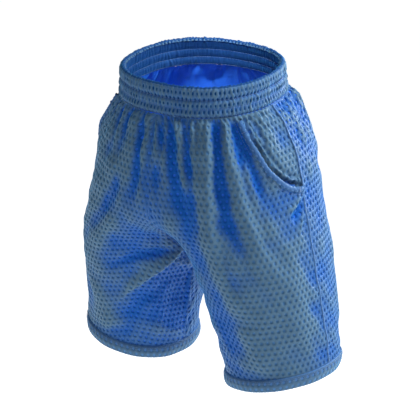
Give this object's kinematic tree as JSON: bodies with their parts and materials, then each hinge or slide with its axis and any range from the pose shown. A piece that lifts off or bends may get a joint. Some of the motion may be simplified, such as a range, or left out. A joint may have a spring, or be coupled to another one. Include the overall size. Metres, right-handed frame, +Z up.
{
  "type": "athletic shorts",
  "caption": "Knee-length athletic mesh shorts with an elastic waistband, slant pockets, smooth lining and turned-up hem bands.",
  "frame": {"origin": "centre of the waist opening, level with the waistband's top edge", "axes": "+Z up along the wearer's body, -Y the wearer's front, +X the wearer's left"},
  "size_m": [0.4928, 0.3215, 0.5536],
  "materials": {
    "mesh_cloth": "royal-blue polyester sports mesh, staggered small holes, soft sheen",
    "lining_cloth": "smooth royal-blue tricot lining",
    "band_cloth": "the same mesh gathered small over elastic",
    "elastic": "white knitted elastic",
    "seam_cloth": "folded mesh edge, slightly lighter",
    "thread": "dense blue polyester stitches"
  },
  "bodies": {
    "root": {"front_panel_left": "mesh_cloth", "front_panel_right": "mesh_cloth", "back_panel_left": "mesh_cloth", "back_panel_right": "mesh_cloth", "front_lining_left": "lining_cloth", "front_lining_right": "lining_cloth", "back_lining_left": "lining_cloth", "back_lining_right": "lining_cloth", "hem_band_left": "mesh_cloth", "hem_band_right": "mesh_cloth", "waistband_casing": "band_cloth", "elastic_upper": "elastic", "elastic_middle": "elastic", "elastic_lower": "elastic", "pocket_facing_left": "mesh_cloth", "pocket_facing_right": "mesh_cloth", "pocket_bag_front_left": "lining_cloth", "pocket_bag_front_right": "lining_cloth", "pocket_bag_back_left": "lining_cloth", "pocket_bag_back_right": "lining_cloth", "pocket_mouth_band_left": "seam_cloth", "pocket_mouth_band_right": "seam_cloth", "pocket_bar_tack_upper_left": "thread", "pocket_bar_tack_upper_right": "thread", "pocket_bar_tack_lower_left": "thread", "pocket_bar_tack_lower_right": "thread", "outseam_welt_left": "seam_cloth", "outseam_welt_right": "seam_cloth"}
  },
  "joints": []
}
